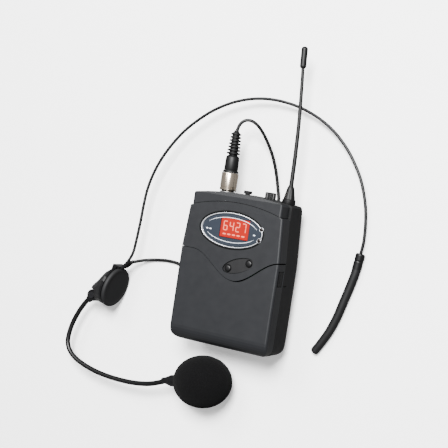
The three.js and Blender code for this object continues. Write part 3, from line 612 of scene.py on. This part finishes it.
def display():
    polish("display_plate", FACE, 0.12)
    polish("display_window", SCREEN, 0.12)
    # The dark rim bead paints the shade of the groove round the display
    rim = oval_band("display_rim", bead(-0.25, 0.75, 36.2, FRONT_Z + 0.14), SHADE_RIM)
    silver = oval_band("display_bead", bead(-1.25, 0.24, 36.2, FRONT_Z + 0.24), SILVER)
    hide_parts("display_ring")
    for name, start, end in (("arc_upper", 152, 20), ("arc_lower", 205, 332)):
        count = 60
        angles = [math.radians(start + (end - start) * k / count) for k in range(count + 1)]
        path = [oval_point(-4.2, a, FACE_TOP) for a in angles]
        taper = lambda s, total: 0.17 * min(1, 0.25 + 6 * min(s, total - s) / total)
        arc = add(name, skin(sweep(path, taper, 8)), PRINT, "pack")
    marks = bmesh.new()
    for x, y in ((-18.6, 26.3), (-16.2, 26.2), (15.6, 26.6)):
        bar(marks, x, y, 1.7, 0.7, 38.75, 38.9)
    add("display_marks", marks, PRINT, "pack")
    for node in ("led_upper", "led_lower"):
        low, high = (Vector(p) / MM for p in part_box(node))
        x, y = (low.x + high.x) / 2, (low.y + high.y) / 2
        place = Matrix.Translation(Vector((x, y, 0)) * MM)
        dome = [(0.02, 31), (0.95, 31), (0.95, 38.9), (1.3, 38.95), (1.3, 39.15), (1.15, 39.35),
                (0.7, 39.5), (0.02, 39.55)]
        lens = add(node + "_lens", skin(lathe(dome, place, 32)), LENS, "pack")
        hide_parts(node)
        turn = [2 * math.pi * k / 12 for k in range(12)]
        section = [(1.38 + 0.09 * math.cos(a), 39.06 + 0.09 * math.sin(a)) for a in turn]
        ring = add(node + "_ring", band(list(zip(*lathe(section, place, 40)))), SILVER, "pack")
    digits()


def buttons():
    profile = [(0.02, 33.9), (1.2, 33.9), (1.2, 35.2), (2.85, 35.2), (2.85, 36.0), (2.2, 36.0),
               (2.2, 38.2), (2.05, 38.5), (1.75, 38.74), (1.35, 38.88), (0.8, 38.96), (0.02, 39.0)]
    for side in ("left", "right"):
        low, high = (Vector(p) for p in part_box("button_" + side))
        middle = (low + high) / 2
        place = Matrix.Translation((middle.x, middle.y, 0))
        obj = add("button_%s_cap" % side, skin(lathe(profile, place)), BLACK, side + "_button")
        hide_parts("button_" + side)


def knob():
    """The level cap, with fine grip ribs round its side."""
    place = along_y("volume_knob")
    profile = [(0.02, 53.7), (1.4, 53.7), (1.4, 49.4), (3.3, 49.4), (3.6, 49.7), (3.6, 54.2),
               (3.3, 54.6), (2.9, 54.75), (0.02, 54.78)]
    rings = lathe(profile, place, 72)
    axis = place.translation
    for ring in rings[4:7]:
        for i, p in enumerate(ring):
            if i % 4 < 2:
                centre = Vector((axis.x, p.y, axis.z))
                ring[i] = centre + (p - centre) * 0.93
    obj = add("level_cap", skin(rings), BLACK, "knob", 30)
    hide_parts("volume_knob")
    polish("power_switch", BLACK, 0.15)


def connector():
    place = along_y("plug_shell")
    jack = [(0.02, 36.5), (5.2, 36.5), (5.2, 46), (6.6, 46), (6.6, 47.4), (5.4, 47.4), (5.4, 48.4),
            (5.15, 48.6), (5.15, 51.0), (4.9, 51.2), (4.5, 51.2), (4.5, 40.8), (0.02, 40.8)]
    nut = add("jack_nut", skin(lathe(jack, place)), STEEL, "pack")
    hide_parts("mic_jack")
    shell = [(4.4, 51.7), (5.2, 51.7), (5.45, 52.0), (5.5, 52.4), (5.5, 53.4), (5.3, 53.6),
             (5.3, 54.1), (5.5, 54.3), (5.5, 62.9), (5.4, 63.2), (5.2, 63.4), (3.4, 63.4),
             (3.4, 61.8), (4.4, 61.8)]
    metal = add("plug_barrel", band(list(zip(*lathe(shell, place, 64)))), NICKEL, "pack")
    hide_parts("plug_shell")
    collar = [(0.02, 63.5), (5.1, 63.5), (5.2, 63.65), (5.1, 64.4), (4.6, 65.1), (4.3, 65.55),
              (0.02, 65.55)]
    ring = add("boot_collar", skin(lathe(collar, place)), RUBBER, "pack")
    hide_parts("plug_collar")
    boot = [(0.02, 65.5), (4.5, 65.5), (4.6, 65.8), (4.5, 69.5), (4.4, 73.3), (4.1, 74.1), (3.6, 74.6)]
    for i in range(7):
        y = 75.0 + 2.1 * i
        fat = 4.5 - 0.18 * i
        slim = 2.9 - 0.09 * i
        boot += [(slim, y), (slim, y + 0.5), (fat - 0.25, y + 0.75), (fat, y + 1.05),
                 (fat, y + 1.5), (fat - 0.25, y + 1.8)]
    boot += [(2.4, 89.7), (2.3, 90.0), (1.7, 90.4), (1.5, 91.4), (0.02, 91.5)]
    rubber = add("strain_relief", skin(lathe(boot, place, 56)), RUBBER, "pack", 50)
    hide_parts("cable_boot")
    return [metal, ring, rubber, nut]


def antenna():
    place = along_y("antenna_base")
    cone = [(0.02, 48.7), (4.2, 48.7), (4.4, 49.0), (4.3, 51.8), (3.7, 52.2), (3.5, 53.6), (3.0, 56.0),
            (2.55, 58.2), (2.4, 58.9), (2.2, 59.7), (1.9, 60.2), (1.6, 61.0),
            (0.02, 61.1)]
    rings = lathe(cone, place, 64)
    axis = place.translation
    for ring in rings[4:8]:
        for i, p in enumerate(ring):
            centre = Vector((axis.x, p.y, axis.z))
            dip = 0.05 * max(0, math.cos(6 * 2 * math.pi * i / len(ring)))
            ring[i] = centre + (p - centre) * (1 - dip)
    base = add("antenna_boot", skin(rings), RUBBER, "pack")
    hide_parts("antenna_base")
    path = even(smooth(ANTENNA), 1.2, 1.0)
    thick, thin = ANTENNA_D
    whip = add(
        "antenna_whip",
        skin(sweep(path, lambda s, total: (thick + (thin - thick) * s / total) / 2, 20)),
        RUBBER,
        "pack",
    )
    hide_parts("antenna_rod")
    tip_path = even(smooth(TIP), 0.6, 1.8)
    tip = add("antenna_cap", skin(sweep(tip_path, rounded(2.1, 1.7), 28)), RUBBER, "pack")
    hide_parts("antenna_tip")


case()
inside()
display()
buttons()
knob()
PLUG_PIECES = connector()
antenna()


# ---- The headset ----

def in_pod(node="ear_pad"):
    """The pod's own place: Z is out of the pad's face."""
    low, high = (Vector(p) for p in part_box(node))
    turn = Matrix.Rotation(PAD_TURN, 4, "Z") @ Matrix.Rotation(math.pi / 2, 4, "Y")
    return (low + high) / 2, turn


def ear_pad():
    """A soft round pad: a shallow dished face inside a rounded rim."""
    middle, turn = in_pod()
    place = Matrix.Translation(middle) @ turn
    half = 1.5
    profile = [(0.02, -half), (13.2, -half), (13.9, -half + 0.35), (14.25, -half + 0.9), (14.3, -0.2),
               (14.25, 0.5), (14.0, 1.0), (13.5, 1.35), (12.9, half), (12.2, 1.42), (11.7, 1.2),
               (11.2, 1.08), (9.0, 1.12), (5.0, 1.2), (0.02, 1.22)]
    obj = add("ear_cushion", skin(lathe(profile, place, 96)), PAD, "pack", 60)
    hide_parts("ear_pad")


def pod():
    polish("pod_housing", GLOSS, 0.35, 50)
    polish("boom_knuckle", GLOSS, 0.25)
    polish("pivot_washer", DARK_STEEL, 0.1)
    polish("pivot_screw", DARK_STEEL, 0.12)
    polish("cable_gland", RUBBER, 0.2)
    bush = even(smooth(BUSH), 0.3)
    sleeve = add("cord_bush", skin(sweep(bush, lambda s, total: 1.6 - 0.35 * s / total, 20)), RUBBER, "pack")
    polish("cord_tie", BLACK, 0.2)


def headband():
    """The sprung wire behind the head, with the rubber rest and its ferrule on the free end."""
    path = even(smooth([WIRE_ROOT] + HEADBAND), 1.6, 0.6)
    wire = add("headband", skin(sweep(path, rounded(WIRE_D * WIRE_SHARE, 0.3), 16)), WIRE, "pack")
    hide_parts("headband_wire")
    def stepped(s, total):
        return 2.75 if s < 0.5 or 4.2 < s < 4.9 else 3.0
    collar_path = even(smooth(COLLAR), 0.35)
    collar = add("temple_ferrule", skin(sweep(collar_path, stepped, 32)), BLACK, "temple_rest")
    edge(collar, 0.15)
    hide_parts("temple_collar")
    def tapered(s, total):
        radius = SLEEVE_D / 2 - 0.25 * (s / total) ** 2
        return min(radius, rounded(radius, 1.8)(s + 1.6, total + 1.6))
    sleeve_path = even(smooth(SLEEVE), 0.8, 2.2)
    sleeve = add("temple_tip", skin(sweep(sleeve_path, tapered, 28)), SLEEVE_RUBBER, "temple_rest")
    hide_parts("temple_sleeve")


def boom():
    """The bendable boom, with the coil of its core just showing through its sleeve."""
    path = even(smooth([BOOM_ROOT] + BOOM), 0.3)
    def ripple(s, total):
        return BOOM_D * BOOM_SHARE - BOOM_RIPPLE * (1 + math.cos(2 * math.pi * s / BOOM_PITCH)) / 2
    obj = add("boom_arm", skin(sweep(path, ripple, 20)), GOOSENECK, "boom", 60)
    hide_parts("boom_gooseneck")


def foam_place():
    """The microphone's place: Z points out of the windscreen's nose."""
    low, high = (Vector(p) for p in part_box("windscreen"))
    turn = Matrix.Rotation(FOAM_TURN, 4, "Z") @ Matrix.Rotation(math.pi / 2, 4, "Y")
    return Matrix.Translation((low + high) / 2) @ turn


def microphone():
    place = foam_place()
    ferrule = [(0.02, -31.4), (1.75, -31.4), (1.95, -31.1), (2.3, -28.6), (3.5, -25.2), (3.75, -24.6),
               (3.9, -24.2), (3.9, -14.7), (3.7, -14.5), (0.02, -14.5)]
    cone = add("mic_ferrule", skin(lathe(ferrule, place, 40)), GLOSS, "boom")
    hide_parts("capsule_ferrule")
    r, half, mouth = 17.6, 20.6, 4.3
    start = math.acos(mouth / r)
    profile = [(mouth, -2.0)]
    for i in range(41):
        a = -start + (start + math.pi / 2) * i / 40
        profile.append((max(0.02, r * math.cos(a)), half * math.sin(a)))
    rings = lathe(profile[:-1] + [(0.02, half)], place, 96)
    inner = lathe([(0.02, -2.0)], place, 96)
    bm = skin(inner + rings)
    centre = place.translation
    for v in bm.verts:
        out = v.co - centre
        if out.length > 8 * MM:
            rough = noise.fractal(v.co / MM * 0.55, 0.9, 2.0, 3)
            v.co -= out.normalized() * MM * (0.16 + 0.14 * rough)
    obj = add("foam_windscreen", bm, FOAM, "foam_cover", 70)
    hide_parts("windscreen")


ear_pad()
pod()
headband()
boom()
microphone()
